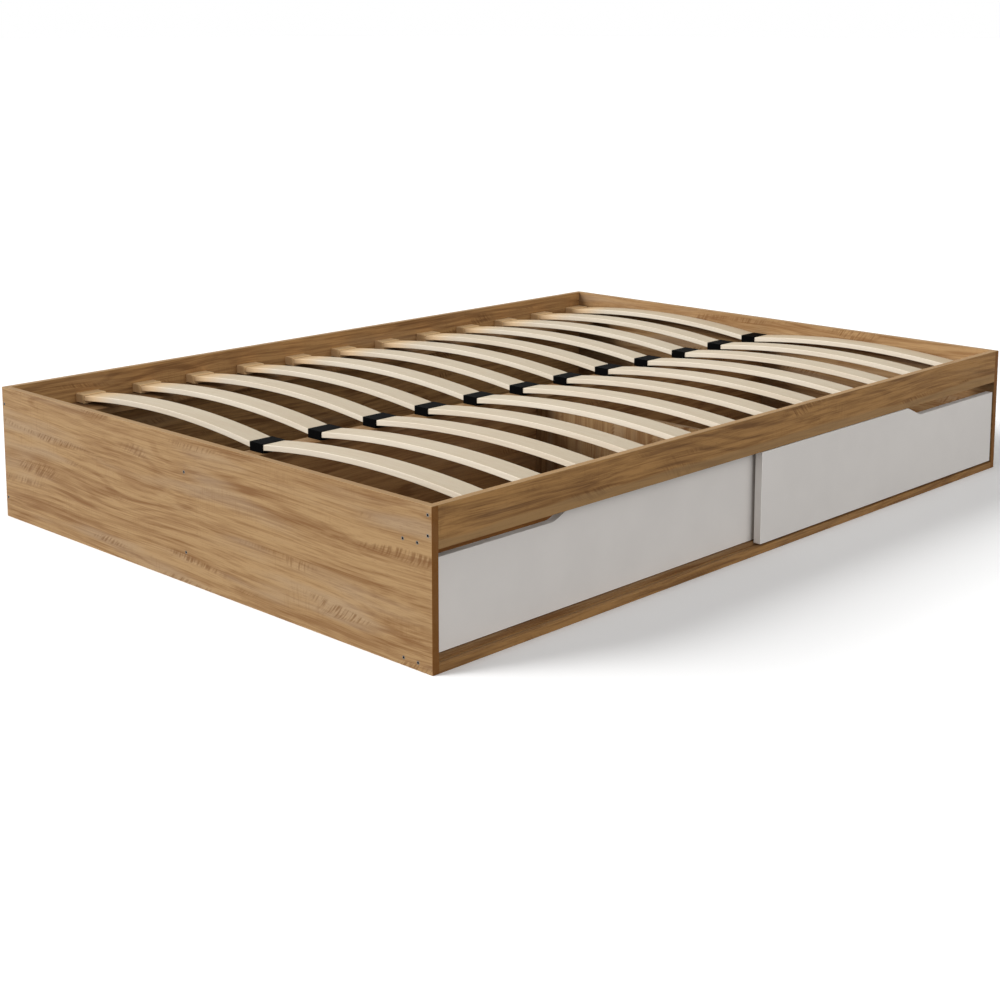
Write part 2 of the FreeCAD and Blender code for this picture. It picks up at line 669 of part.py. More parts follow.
def slat_supports():
    """Ledges, beam and the boards that carry them."""
    ledge = screwed_board("front_ledge", "rail_back", "ledge_underside",
                          "front_ledge_width", "board")
    mill_groove(ledge, "inner_track_axis - rail_back", "0", upwards=True)
    drill_pegs(ledge, "front_cap_place + cap_length / 2 - rail_back")
    back = rectangular_board("back_ledge", "board", "back_inside - back_ledge_width",
                             "ledge_underside", "inner_length", "back_ledge_width", "board")
    drill_pegs(back, "back_ledge_width - cap_length / 2")
    pilots = new_sketch(back, "XZ_Plane", "-back_ledge_width")
    draw_circles(pilots, [(f"{x} - board", "board / 2") for x in ledge_screw_places()],
                 "core_hole_radius")
    pocket(back, pilots, "core_hole_depth", along_normal=True)
    beam = screwed_board("centre_beam", "beam_front", "ledge_underside", "beam_width", "board")
    drill_pegs(beam, "beam_width / 2")
    centre = screwed_board("centre_board", "centre_board_front", "underside_gap", "board",
                           "inner_height")
    holes = new_sketch(centre, "XZ_Plane", "-board")
    centres = [("partition_place - board / 2", f"{z} - underside_gap")
               for z in partition_screw_heights()]
    draw_circles(holes, centres, "shank_hole_radius")
    pocket(centre, holes, "board", along_normal=True)
    sink_holes(centre, FreeCAD.Vector(0, 1, 0), size("board"))


def storage():
    """Base board, partition and the hardboard floor of the storage space."""
    base = screwed_board("base_board", "base_front", "underside_gap", "base_board_width",
                         "board")
    mill_groove(base, "inner_track_axis - base_front", "board", upwards=False)
    partition = new_body("cross_partition", "partition_place", "0", "0")
    outline = new_sketch(partition, "YZ_Plane")
    draw_outline(outline, [
        ("partition_front", "base_top"),
        ("partition_back_foot", "base_top"),
        ("partition_back_foot", "underside_gap"),
        ("centre_board_front", "underside_gap"),
        ("centre_board_front", "ledge_underside"),
        ("partition_front", "ledge_underside"),
    ])
    pad(partition, outline, "board")
    pilots = new_sketch(partition, "XZ_Plane", "-centre_board_front")
    draw_circles(pilots, [("board / 2", z) for z in partition_screw_heights()],
                 "core_hole_radius")
    pocket(partition, pilots, "core_hole_depth", along_normal=True)
    depth = "centre_board_back - base_front"
    under = "underside_gap - floor_sheet"
    rectangular_board("floor_sheet_left", "board", "base_front", under,
                      "sheet_split - board", depth, "floor_sheet")
    rectangular_board("floor_sheet_right", "sheet_split", "base_front", under,
                      "right_inside - sheet_split", depth, "floor_sheet")


def door_tracks():
    """Four tracks: the outer door's in rail and plinth, the inner door's in ledge and base."""
    track("outer_top_track", "outer_track_axis", "ledge_underside", opens_down=True)
    track("inner_top_track", "inner_track_axis", "ledge_underside", opens_down=True)
    track("outer_bottom_track", "outer_track_axis", "plinth_height - track_height",
          opens_down=False)
    track("inner_bottom_track", "inner_track_axis", "base_top - track_height",
          opens_down=False)


def slat_base():
    """Two rows of sprung slats with their holders and caps."""
    centres = [slat_centre(index) for index in range(SLATS_PER_ROW)]
    for number, x in enumerate(centres, start=1):
        slat(f"slat_front_{number:02d}", x, "front_slat_front")
        slat(f"slat_back_{number:02d}", x, "back_slat_front")
    cap = end_cap()
    group("centre_holders", double_holder(), [(x, "beam_axis", "ledge_top") for x in centres],
          FreeCAD.Rotation())
    group("front_slat_caps", cap, [(x, "front_cap_place", "ledge_top") for x in centres],
          FreeCAD.Rotation())
    group("back_slat_caps", cap, [(x, "back_inside", "ledge_top") for x in centres],
          FreeCAD.Rotation(UP, HALF_TURN))


def fasteners():
    """Screws and dowels, like ones together."""
    screw = confirmat_screw()
    along_x = FreeCAD.Rotation(UP, FreeCAD.Vector(1, 0, 0))
    against_x = FreeCAD.Rotation(UP, FreeCAD.Vector(-1, 0, 0))
    against_y = FreeCAD.Rotation(UP, FreeCAD.Vector(0, -1, 0))
    group("end_screws_left", screw, [("0", y, z) for y, z in ALL_END_SCREWS], along_x)
    group("end_screws_right", screw, [("bed_length", y, z) for y, z in ALL_END_SCREWS],
          against_x)
    group("back_ledge_screws", screw, [(x, "bed_width", "ledge_underside + board / 2")
                                       for x in ledge_screw_places()], against_y)
    group("partition_screws", screw, [("partition_place + board / 2", "centre_board_back", z)
                                      for z in partition_screw_heights()], against_y)
    y, z = PLINTH_DOWEL
    group("plinth_dowels", wood_dowel(), [("board - dowel_in_panel", y, z),
                                          ("right_inside - dowel_in_strip", y, z)], along_x)


def check_document():
    """Stop at any object that failed, and at any node without a sound solid."""
    doc.recompute()
    for thing in doc.Objects:
        if "Invalid" in thing.State or "Error" in thing.State:
            raise RuntimeError(f"{thing.Label}: {thing.State}")
    for node in nodes:
        shape = node.Shape
        if shape.isNull() or not shape.isValid() or not shape.Solids:
            raise RuntimeError(f"{node.Label}: no sound solid")


def write_parts():
    """One STEP file for each node."""
    os.makedirs("parts", exist_ok=True)
    for node in nodes:
        node.Shape.exportStep(f"parts/{node.Label}.step")
        print(f"{node.Label}: {len(node.Shape.Solids)} solid(s)")


def main():
    fill_sheet()
    outer_case()
    slat_supports()
    storage()
    door_tracks()
    sliding_door("left", "left_door_place", "inner_door_front", "inner_door_bottom",
                 "inner_door_lift", "inner_grip_length", grip_at_left=True)
    sliding_door("right", "right_door_place", "outer_door_front", "outer_door_bottom",
                 "outer_door_lift", "outer_grip_length", grip_at_left=False)
    slat_base()
    fasteners()
    check_document()
    write_parts()


main()
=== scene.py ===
"""Finishes and studio for the platform storage bed: oak foil, door board, slats and light."""
import json
import math
from typing import NamedTuple

import bmesh
import bpy
from mathutils import Matrix, Vector

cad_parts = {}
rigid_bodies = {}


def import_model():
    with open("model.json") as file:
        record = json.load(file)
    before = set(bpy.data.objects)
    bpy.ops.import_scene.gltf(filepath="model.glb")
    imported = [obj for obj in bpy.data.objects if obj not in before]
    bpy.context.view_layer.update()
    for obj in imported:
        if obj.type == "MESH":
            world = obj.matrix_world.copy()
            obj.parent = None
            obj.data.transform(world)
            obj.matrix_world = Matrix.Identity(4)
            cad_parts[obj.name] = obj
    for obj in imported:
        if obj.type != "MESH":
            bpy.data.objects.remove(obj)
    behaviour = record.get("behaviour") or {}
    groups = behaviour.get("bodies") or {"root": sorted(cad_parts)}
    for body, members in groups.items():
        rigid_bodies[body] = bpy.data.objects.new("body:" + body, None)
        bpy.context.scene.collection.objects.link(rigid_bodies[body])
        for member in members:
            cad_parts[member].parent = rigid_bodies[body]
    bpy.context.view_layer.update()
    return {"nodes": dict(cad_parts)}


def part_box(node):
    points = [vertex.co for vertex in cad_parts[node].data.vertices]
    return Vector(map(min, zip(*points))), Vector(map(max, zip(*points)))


bl_info = {
    "name": "Platform storage bed",
    "version": (1, 0, 0),
    "blender": (4, 5, 0),
    "location": "3D View > Sidebar > Storage bed",
    "description": "Finishes, rounded edges and studio for a platform bed with sliding doors",
    "category": "Object",
}

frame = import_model()
NODES = frame["nodes"]

# Kinds of sockets on the node groups
COLOUR = "NodeSocketColor"
NUMBER = "NodeSocketFloat"
VECTOR = "NodeSocketVector"

TURN = 2 * math.pi
ZERO = (0.0, 0.0, 0.0)


class Board(NamedTuple):
    """How one board is cut from the oak print."""

    grain: str  # axis that the grain runs along
    cut: tuple  # where in the print the board lies, in metres
    depth: float  # how far its colours are darkened
    limed: float  # how much its limed patches show
    honey: float = 0.0  # how far its light wood turns to honey


BOARDS = {
    "end_panel_left": Board("Y", (0.0, 0.0, 0.0), depth=0.0, limed=0.55),
    "end_panel_right": Board("Y", (3.1, 0.4, 1.3), depth=0.1, limed=0.55),
    # The back panel is not darkened and turns to honey as painted light, making up for the shade on
    # its inner face
    "back_panel": Board("X", (5.2, 1.1, 0.7), depth=0.0, limed=0.25, honey=0.7),
    "front_rail": Board("X", (8.4, 2.3, 0.2), depth=0.04, limed=0.10, honey=1.0),
    "plinth_strip": Board("X", (11.7, 0.9, 2.6), depth=0.15, limed=0.15, honey=1.0),
    "base_board": Board("X", (14.3, 3.1, 1.9), depth=0.4, limed=0.3),
    "front_ledge": Board("X", (17.9, 0.3, 3.2), depth=0.4, limed=0.3),
    "back_ledge": Board("X", (21.2, 1.7, 0.8), depth=0.4, limed=0.3),
    "centre_beam": Board("X", (24.6, 2.9, 2.2), depth=0.2, limed=0.3),
    "centre_board": Board("X", (27.3, 0.5, 1.1), depth=0.2, limed=0.2, honey=0.5),
    "cross_partition": Board("Z", (30.8, 1.9, 2.7), depth=0.0, limed=0.55),
}
# Turns that bring each grain direction onto X
GRAIN_TURNS = {
    "X": ZERO,
    "Y": (0.0, 0.0, -math.pi / 2),
    "Z": (0.0, math.pi / 2, 0.0),
}
END_PANELS = ("end_panel_left", "end_panel_right")
# Boards whose top edge gets a painted highlight, a light band where light falls from above
TOP_HIGHLIGHT_BOARDS = (*END_PANELS, "front_rail", "back_panel")
DOORS = ("door_left", "door_right")
SLAT_ROWS = {"front": "slat_front", "back": "slat_back"}
# Way that each group of screws faces
SCREW_FACES = {
    "end_screws_left": (-1, 0, 0),
    "end_screws_right": (1, 0, 0),
    "back_ledge_screws": (0, 1, 0),
    "partition_screws": (0, 1, 0),
}

# How strongly the edge bands, the painted highlight on top edges and the rail's seam cover the oak
# print
BAND_COVER = 0.88
TOP_HIGHLIGHT_COVER = 0.75
ZONE_COVER = 0.6
VEIN_COVER = 0.55
# Height of the rail's seam over its foot
SEAM_HEIGHT = 0.018
# Width of the light line on a door's edges, partly edge band and partly painted highlight, in
# thicknesses of a band
DOOR_HIGHLIGHT = 2.2
# Distances from a back slat's end between which painted shade from the back panel turns it to the
# caps' colour, and how far it turns
PAINTED_SHADE_START = 0.17
PAINTED_SHADE_END = 0.03
PAINTED_SHADE_SHARE = 0.85
# What lies deeper than this under a screw's head is the shade in its socket
HEAD_DEPTH = 0.0002
# How far a screw's head is metal
HEAD_METAL = 0.85

# Points of a mesh that are nearer than this become one point
JOIN_DISTANCE = 0.00001
# Faces become one face at an edge that turns by less than this
FLAT_ANGLE = math.radians(0.15)
# Edges that turn by more than this are rounded
SHARP_ANGLE = math.radians(60)


class Pattern(NamedTuple):
    """Noise whose levels from low to high are spread over 0 to 1."""

    scale: tuple  # lumps in a metre along X, Y and Z
    low: float
    high: float
    detail: float = 0.0
    roughness: float = 0.5


PATTERNS = {
    "oak streaks": Pattern((1.5, 30, 30), 0.38, 0.66, 3, 0.6),
    "oak veined": Pattern((2.3, 13, 13), 0.44, 0.64),
    "oak strokes": Pattern((170, 26, 0), 0.40, 0.68, 1),
    "oak eyes": Pattern((5, 34, 34), 0.64, 0.77),
    "oak threads": Pattern((4.5, 120, 120), 0.38, 0.64, 3, 0.6),
    "oak fibres": Pattern((8, 380, 380), 0.33, 0.69, 3),
    "oak pores": Pattern((55, 1300, 1300), 0.64, 0.78),
    "oak limed": Pattern((2.1, 17, 17), 0.50, 0.70, 2),
    "saw lines": Pattern((260, 24, 24), 0.52, 0.74, 1),
    "sawn patches": Pattern((6, 18, 18), 0.54, 0.68),
    "broken vein": Pattern((7, 60, 60), 0.36, 0.60, 2),
    "moulding clouds": Pattern((9, 9, 9), 0.3, 0.7, 3),
    "birch fibres": Pattern((420, 9, 420), 0.32, 0.68, 3),
    "birch figure": Pattern((46, 2.2, 46), 0.35, 0.68, 2),
    "beech fibres": Pattern((25, 900, 900), 0.3, 0.7, 3),
    "zinc brushed": Pattern((900, 900, 900), 0.3, 0.7, 2),
    "zinc clouds": Pattern((160, 160, 160), 0.35, 0.65, 1),
}


class Surface(NamedTuple):
    """What a finish sets on its shader, and the depth of its relief."""

    gloss: float  # specular level
    relief: float = 0.0  # in metres
    roughness: float = 0.5  # where no pattern gives it
    variation: float = 0.12  # how far a moulded surface's tone strays
    grain: float = 1400.0  # scale of a moulded surface's pits


SURFACES = {
    "oak": Surface(gloss=0.06, relief=0.00012),
    "hardboard": Surface(gloss=0.1, relief=0.0001),
    "birch": Surface(gloss=0.15, relief=0.0001),
    "beech": Surface(gloss=0.3, relief=0.0001),
    "zinc": Surface(gloss=0.02, relief=0.00002),
    "melamine": Surface(gloss=0.2, relief=0.00004, variation=0.05, grain=900.0),
    "holder": Surface(gloss=0.01, relief=0.00004, roughness=0.6),
    "cap": Surface(gloss=0.05, relief=0.00004),
    "track": Surface(gloss=0.05, relief=0.00004, roughness=0.4),
    "guide": Surface(gloss=0.05, relief=0.00004, roughness=0.35),
    "studio floor": Surface(gloss=0.0, roughness=1.0),
}


class BedFinish(bpy.types.PropertyGroup):
    """Colours of the bed's materials, as shares of the light that they send back."""

    oak_light: bpy.props.FloatVectorProperty(
        name="Oak, light", description="Plain wood between the streaks",
        subtype="COLOR", min=0, max=1, default=(0.316, 0.198, 0.093))
    # Also lightens the back panel as painted light
    oak_honey: bpy.props.FloatVectorProperty(
        name="Oak, honey", description="Plain wood of the warmer boards, such as the rail",
        subtype="COLOR", min=0, max=1, default=(0.410, 0.221, 0.081))
    oak_brown: bpy.props.FloatVectorProperty(
        name="Oak, brown", description="Long streaks along the grain",
        subtype="COLOR", min=0, max=1, default=(0.175, 0.086, 0.033))
    oak_dark: bpy.props.FloatVectorProperty(
        name="Oak, dark", description="Slanted strokes and pores",
        subtype="COLOR", min=0, max=1, default=(0.138, 0.061, 0.021))
    oak_pale: bpy.props.FloatVectorProperty(
        name="Oak, pale", description="Limed patches",
        subtype="COLOR", min=0, max=1, default=(0.312, 0.225, 0.143))
    oak_band: bpy.props.FloatVectorProperty(
        name="Oak edge band", description="Edge band on upright edges",
        subtype="COLOR", min=0, max=1, default=(0.192, 0.075, 0.016))
    door_grey: bpy.props.FloatVectorProperty(
        name="Door board", description="Melamine face of the doors",
        subtype="COLOR", min=0, max=1, default=(0.745, 0.708, 0.672))
    # Light line on a door's edges: partly edge band, partly a painted highlight where the rounded
    # edges catch light
    door_edge_highlight: bpy.props.FloatVectorProperty(
        name="Door edge", description="Thin light line along a door's edges",
        subtype="COLOR", min=0, max=1, default=(0.90, 0.86, 0.82))
    slat_cream: bpy.props.FloatVectorProperty(
        name="Slat wood", description="Sprung slats of laminated birch",
        subtype="COLOR", min=0, max=1, default=(0.500, 0.427, 0.315))
    slat_side: bpy.props.FloatVectorProperty(
        name="Slat wood, sides", description="Long sides of the slats",
        subtype="COLOR", min=0, max=1, default=(0.590, 0.530, 0.435))
    slat_tan: bpy.props.FloatVectorProperty(
        name="Slat wood, warm", description="Glue lines and warm fibres of the slats",
        subtype="COLOR", min=0, max=1, default=(0.405, 0.305, 0.195))
    holder_black: bpy.props.FloatVectorProperty(
        name="Holders", description="Plastic of the double holders and of the doors' guides",
        subtype="COLOR", min=0, max=1, default=(0.0015, 0.0015, 0.0016))
    cap_tan: bpy.props.FloatVectorProperty(
        name="End caps", description="Plastic of the slats' end caps",
        subtype="COLOR", min=0, max=1, default=(0.720, 0.495, 0.265))
    track_brown: bpy.props.FloatVectorProperty(
        name="Tracks", description="Plastic of the door tracks",
        subtype="COLOR", min=0, max=1, default=(0.290, 0.170, 0.080))
    sheet_light: bpy.props.FloatVectorProperty(
        name="Storage floor, light", description="Print of the hardboard sheets",
        subtype="COLOR", min=0, max=1, default=(0.300, 0.124, 0.028))
    sheet_dark: bpy.props.FloatVectorProperty(
        name="Storage floor, dark", description="Streaks on the hardboard sheets",
        subtype="COLOR", min=0, max=1, default=(0.165, 0.063, 0.013))
    zinc_grey: bpy.props.FloatVectorProperty(
        name="Screws", description="Zinc-plated steel",
        subtype="COLOR", min=0, max=1, default=(0.130, 0.120, 0.108))
    zinc_light: bpy.props.FloatVectorProperty(
        name="Screws, light", description="Brushed parts of the zinc",
        subtype="COLOR", min=0, max=1, default=(0.22, 0.20, 0.18))
    socket_black: bpy.props.FloatVectorProperty(
        name="Screw sockets", description="Shade in a screw's socket",
        subtype="COLOR", min=0, max=1, default=(0.004, 0.003, 0.002))


class BedSizes(bpy.types.PropertyGroup):
    """Sizes of the finish."""

    board_rounding: bpy.props.FloatProperty(
        name="Board edges", description="Rounding of the boards' edges",
        unit="LENGTH", min=0.0001, max=0.002, default=0.0006)
    door_rounding: bpy.props.FloatProperty(
        name="Door edges", description="Rounding of the doors' edges",
        unit="LENGTH", min=0.0001, max=0.003, default=0.0009)
    slat_rounding: bpy.props.FloatProperty(
        name="Slat edges", description="Rounding of the slats' edges",
        unit="LENGTH", min=0.0001, max=0.004, default=0.0018)
    moulding_rounding: bpy.props.FloatProperty(
        name="Moulded edges", description="Rounding of holders and caps",
        unit="LENGTH", min=0.0001, max=0.002, default=0.0007)
    slat_thickness: bpy.props.FloatProperty(
        name="Slat thickness", description="Where the plies lie on a slat's sides",
        unit="LENGTH", min=0.004, max=0.03, default=0.013)
    band_thickness: bpy.props.FloatProperty(
        name="Edge band", description="Thickness of the bands on the edges of boards and doors",
        unit="LENGTH", min=0.0002, max=0.003, default=0.0008)


class BedStudio(bpy.types.PropertyGroup):
    """Light and floor."""

    sky_level: bpy.props.FloatProperty(
        name="Sky", description="Level of the even light from all round",
        min=0, max=2, default=0.44)
    side_lamp: bpy.props.FloatProperty(
        name="Side lamp", description="Strength of the lamp over the left end",
        min=0, max=10, default=2.7)
    side_spread: bpy.props.FloatProperty(
        name="Side lamp's spread", description="Apparent size of the lamp over the left end",
        subtype="ANGLE", min=0, max=math.pi, default=math.radians(24))
    back_lamp: bpy.props.FloatProperty(
        name="Back lamp", description="Strength of the low lamp behind the bed",
        min=0, max=10, default=2.8)
    back_spread: bpy.props.FloatProperty(
        name="Back lamp's spread", description="Apparent size of the low lamp behind the bed",
        subtype="ANGLE", min=0, max=math.pi, default=math.radians(35))
    front_lamp: bpy.props.FloatProperty(
        name="Front lamp", description="Strength of the low lamp in front of the doors",
        min=0, max=10, default=1.55)
    front_spread: bpy.props.FloatProperty(
        name="Front lamp's spread", description="Apparent size of the low lamp in front",
        subtype="ANGLE", min=0, max=math.pi, default=math.radians(70))
    floor_bounce: bpy.props.FloatVectorProperty(
        name="Floor", description="Floor as the object sees it",
        subtype="COLOR", min=0, max=1, default=(0.15, 0.15, 0.15))
    floor_reach: bpy.props.FloatProperty(
        name="Floor size", description="Side of the square floor",
        unit="LENGTH", min=5, max=500, default=300)


def add_node(tree, kind, values=None, **settings):
    """A node with its settings, and its inputs linked or set."""
    node = tree.nodes.new(kind)
    for name, value in settings.items():
        setattr(node, name, value)
    for socket, value in (values or {}).items():
        if isinstance(value, bpy.types.NodeSocket):
            tree.links.new(value, node.inputs[socket])
        else:
            node.inputs[socket].default_value = value
    return node


def calculate(tree, operation, *inputs):
    """Math on numbers."""
    values = dict(enumerate(inputs))
    return add_node(tree, "ShaderNodeMath", values, operation=operation).outputs[0]


def weighted_sum(tree, *terms, start=0.0, clamp=False):
    """A start and the sum of values times their weights, held in 0 to 1 if clamped."""
    total = start
    for value, weight in terms:
        total = calculate(tree, "MULTIPLY_ADD", value, weight, total)
    total.node.use_clamp = clamp
    return total


def calculate_vector(tree, operation, *inputs):
    """Math on vectors, as a vector."""
    values = dict(enumerate(inputs))
    return add_node(tree, "ShaderNodeVectorMath", values, operation=operation).outputs[0]


def scale_vector(tree, vector, factor):
    """A vector or colour times a number."""
    values = {0: vector, "Scale": factor}
    return add_node(tree, "ShaderNodeVectorMath", values, operation="SCALE").outputs[0]


def split_vector(tree, vector):
    """The parts of a vector, by their axes."""
    return add_node(tree, "ShaderNodeSeparateXYZ", {0: vector}).outputs


def rescale(tree, value, low, high, to_low=0.0, to_high=1.0):
    """Carry a range of numbers onto another, held inside it, with soft ends."""
    node = add_node(tree, "ShaderNodeMapRange", {
        "Value": value, "From Min": low, "From Max": high, "To Min": to_low, "To Max": to_high,
    }, interpolation_type="SMOOTHSTEP")
    return node.outputs[0]


def blend_colours(tree, factor, first, second):
    """Mix of two colours."""
    node = add_node(tree, "ShaderNodeMix", {0: factor, 6: first, 7: second}, data_type="RGBA")
    return node.outputs[2]


def cover(tree, colour, mask, strength, upper):
    """Lay another colour over the masked part of a surface."""
    return blend_colours(tree, calculate(tree, "MULTIPLY", mask, strength), colour, upper)


def noise(tree, vector, scale, detail=0.0, roughness=0.5):
    """Soft noise whose grain differs along X and across it: its outputs."""
    stretched = calculate_vector(tree, "MULTIPLY", vector, scale)
    return add_node(tree, "ShaderNodeTexNoise", {
        "Vector": stretched, "Scale": 1.0, "Detail": detail, "Roughness": roughness,
    }).outputs


def draw_pattern(tree, vector, name):
    """One of the named patterns, from 0 to 1."""
    scale, low, high, detail, roughness = PATTERNS[name]
    return rescale(tree, noise(tree, vector, scale, detail, roughness)["Fac"], low, high)


def new_group(name, inputs, outputs):
    """An empty node group with named sockets, and its two end nodes."""
    group = bpy.data.node_groups.new(name, "ShaderNodeTree")
    for way, sockets in (("INPUT", inputs), ("OUTPUT", outputs)):
        for label, kind in sockets.items():
            group.interface.new_socket(name=label, in_out=way, socket_type=kind)
    start = group.nodes.new("NodeGroupInput")
    end = group.nodes.new("NodeGroupOutput")
    return group, start.outputs, end.inputs


def build_oak_foil():
    """Printed oak with its grain along X: streaks, veins round eyes, slanted strokes, pores."""
    tree, given, result = new_group(
        "Oak foil",
        {"Vector": VECTOR, "Light": COLOUR, "Brown": COLOUR, "Dark": COLOUR, "Pale": COLOUR,
         "Limed": NUMBER},
        {"Color": COLOUR, "Roughness": NUMBER, "Height": NUMBER})
    sway_scale = (1.5, 6, 6)
    sway_reach = 0.05
    figure_scale = (2.2, 12, 12)
    veins_per_metre = 26
    vein_bend = 6
    stroke_slant = 0.8
    stroke_bend = 0.05

    place = given["Vector"]
    sway = noise(tree, place, sway_scale, detail=1)["Color"]
    sway = calculate_vector(tree, "SUBTRACT", sway, (0.5, 0.5, 0.5))
    swayed = calculate_vector(tree, "MULTIPLY_ADD", sway, (sway_reach,) * 3, place)
    parts = split_vector(tree, swayed)
    across = calculate(tree, "ADD", parts["Y"], parts["Z"])

    # Broad streaks, and veins that run with the grain and bend round eyes
    streaks = draw_pattern(tree, swayed, "oak streaks")
    figure = noise(tree, swayed, figure_scale, detail=1, roughness=0.4)["Fac"]
    phase = weighted_sum(tree, (figure, vein_bend * TURN), (across, veins_per_metre * TURN))
    veins = rescale(tree, calculate(tree, "SINE", phase), 0.15, 1.0)
    veins = calculate(tree, "MULTIPLY", veins, draw_pattern(tree, place, "oak veined"))

    # Short rows of slanted strokes, none of them quite alike
    slanted = weighted_sum(tree, (across, stroke_slant), (figure, stroke_bend), start=parts["X"])
    slanted = add_node(tree, "ShaderNodeCombineXYZ", {0: slanted, 1: across}).outputs[0]
    strokes = draw_pattern(tree, slanted, "oak strokes")
    strokes = calculate(tree, "MULTIPLY", strokes, draw_pattern(tree, swayed, "oak eyes"))

    # Fine lines, pores, traces of the saw and limed patches
    threads = draw_pattern(tree, swayed, "oak threads")
    fibres = draw_pattern(tree, swayed, "oak fibres")
    pores = draw_pattern(tree, place, "oak pores")
    saw = draw_pattern(tree, place, "saw lines")
    saw = calculate(tree, "MULTIPLY", saw, draw_pattern(tree, place, "sawn patches"))
    limed = draw_pattern(tree, swayed, "oak limed")

    # How much each pattern browns the wood, and how much of their sum leaves it light
    tone = weighted_sum(tree, (streaks, 0.44), (veins, 0.36), (threads, 0.50), (fibres, 0.42),
                        start=-0.24, clamp=True)
    colour = blend_colours(tree, tone, given["Light"], given["Brown"])
    for mask, strength, upper in ((limed, given["Limed"], "Pale"), (strokes, 0.72, "Dark"),
                                  (pores, 0.34, "Dark"), (saw, 0.20, "Brown")):
        colour = cover(tree, colour, mask, strength, given[upper])
    tree.links.new(colour, result["Color"])
    tree.links.new(weighted_sum(tree, (fibres, 0.10), start=0.50), result["Roughness"])
    height = weighted_sum(tree, (fibres, -0.35), (pores, -1.0), (saw, -0.3))
    tree.links.new(height, result["Height"])
    return tree


def build_golden_seam():
    """Honey-coloured zone at a rail's foot and the dark wavy vein that runs above it."""
    tree, given, result = new_group(
        "Golden seam", {"Vector": VECTOR, "Height": NUMBER}, {"Zone": NUMBER, "Vein": NUMBER})
    wave_scale = (2.6, 0, 0)
    wave_reach = 0.034
    fade_start = -0.002
    vein_rise = 0.006
    vein_reach = 0.005

    place = given["Vector"]
    wave = noise(tree, place, wave_scale, detail=2)["Fac"]
    up = split_vector(tree, place)["Z"]
    up = calculate(tree, "MULTIPLY_ADD", calculate(tree, "SUBTRACT", wave, 0.5), wave_reach, up)
    past = calculate(tree, "SUBTRACT", up, given["Height"])
    tree.links.new(rescale(tree, past, fade_start, vein_rise, 1.0, 0.0), result["Zone"])
    away = calculate(tree, "ABSOLUTE", calculate(tree, "SUBTRACT", past, vein_rise))
    vein = rescale(tree, away, 0.0, vein_reach, 1.0, 0.0)
    vein = calculate(tree, "MULTIPLY", vein, draw_pattern(tree, place, "broken vein"))
    tree.links.new(vein, result["Vein"])
    return tree


def build_edge_band():
    """Mask of the faces of a box that stand across the chosen axes."""
    tree, given, result = new_group(
        "Edge band", {"Vector": VECTOR, "Centre": VECTOR, "Half size": VECTOR, "Axes": VECTOR},
        {"Mask": NUMBER})
    away = calculate_vector(tree, "SUBTRACT", given["Vector"], given["Centre"])
    away = calculate_vector(tree, "ABSOLUTE", away)
    past = calculate_vector(tree, "SUBTRACT", away, given["Half size"])
    parts = split_vector(tree, calculate_vector(tree, "MULTIPLY", past, given["Axes"]))
    most = calculate(tree, "MAXIMUM", calculate(tree, "MAXIMUM", parts[0], parts[1]), parts[2])
    tree.links.new(calculate(tree, "GREATER_THAN", most, 0.0), result["Mask"])
    return tree


def build_moulding():
    """Fine texture of moulded plastic and of pressed melamine."""
    tree, given, result = new_group(
        "Moulded surface",
        {"Vector": VECTOR, "Color": COLOUR, "Variation": NUMBER, "Grain": NUMBER},
        {"Color": COLOUR, "Height": NUMBER})
    clouds = draw_pattern(tree, given["Vector"], "moulding clouds")
    pits = add_node(tree, "ShaderNodeTexNoise", {
        "Vector": scale_vector(tree, given["Vector"], given["Grain"]), "Scale": 1.0, "Detail": 2.0})
    pits = rescale(tree, pits.outputs["Fac"], 0.3, 0.7)
    level = weighted_sum(tree, (clouds, 0.7), (pits, 0.3), start=-0.5)
    level = weighted_sum(tree, (level, given["Variation"]), start=1.0)
    tree.links.new(scale_vector(tree, given["Color"], level), result["Color"])
    tree.links.new(pits, result["Height"])
    return tree


